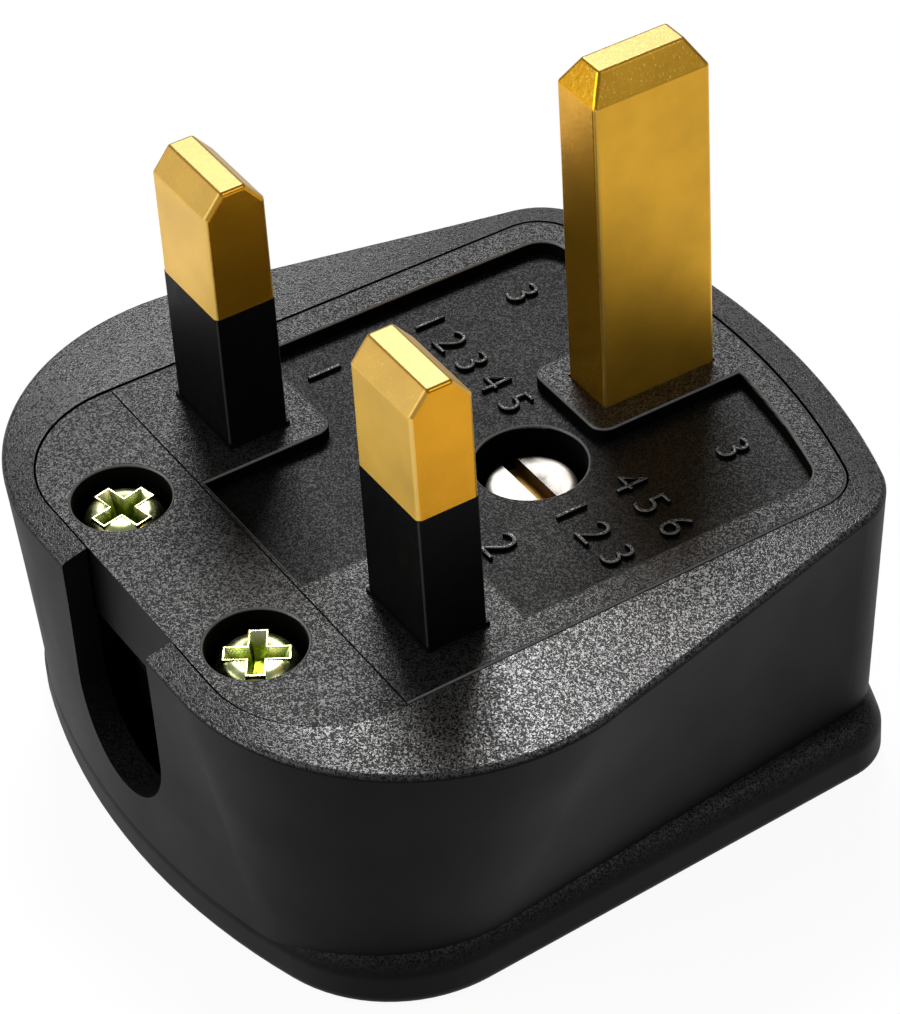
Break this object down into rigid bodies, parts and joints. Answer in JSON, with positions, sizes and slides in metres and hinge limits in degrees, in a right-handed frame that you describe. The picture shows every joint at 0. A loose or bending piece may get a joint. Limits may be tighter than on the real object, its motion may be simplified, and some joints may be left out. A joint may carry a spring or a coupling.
{
  "type": "uk three pin plug",
  "caption": "Rewirable black mains plug with flat brass pins on a sunken face panel, sleeved current pins, a screwed cover with a rounded finger lip, and an open cord entry with a cord grip.",
  "frame": {"origin": "middle of the plug's footprint, on the surface that its flat back lies on", "axes": "+Z from the flat back to the pin tips, +X from the live pin to the neutral pin, +Y from the cord entry to the earth pin"},
  "size_m": [0.049, 0.0466, 0.0428],
  "materials": {
    "housing_plastic": "fine leathery grain, satin",
    "sleeve_plastic": "smooth satin",
    "pin_brass": "polished, slightly rippled",
    "clip_brass": "rolled sheet",
    "bright_steel": "tin plated",
    "nickel_plate": "nickel plated",
    "passivated_zinc": "yellow passivated zinc",
    "fuse_ceramic": "unglazed",
    "washer_fibre": "vulcanised fibre"
  },
  "bodies": {
    "root": {"rear_cover": "housing_plastic", "pin_base": "housing_plastic", "earth_pin": "pin_brass", "neutral_pin": "pin_brass", "live_pin": "pin_brass", "neutral_pin_sleeve": "sleeve_plastic", "live_pin_sleeve": "sleeve_plastic", "live_terminal_block": "pin_brass", "earth_terminal_screw": "bright_steel", "neutral_terminal_screw": "bright_steel", "live_terminal_screw": "bright_steel", "fuse_tube": "fuse_ceramic", "fuse_cap_pin_end": "bright_steel", "fuse_cap_load_end": "bright_steel", "live_pin_fuse_clip": "clip_brass", "load_fuse_clip": "clip_brass", "cover_screw": "nickel_plate", "cover_nut": "clip_brass", "cover_screw_washer": "washer_fibre", "cord_grip_bar": "housing_plastic", "cord_grip_screw_left": "passivated_zinc", "cord_grip_screw_right": "passivated_zinc"}
  },
  "joints": []
}
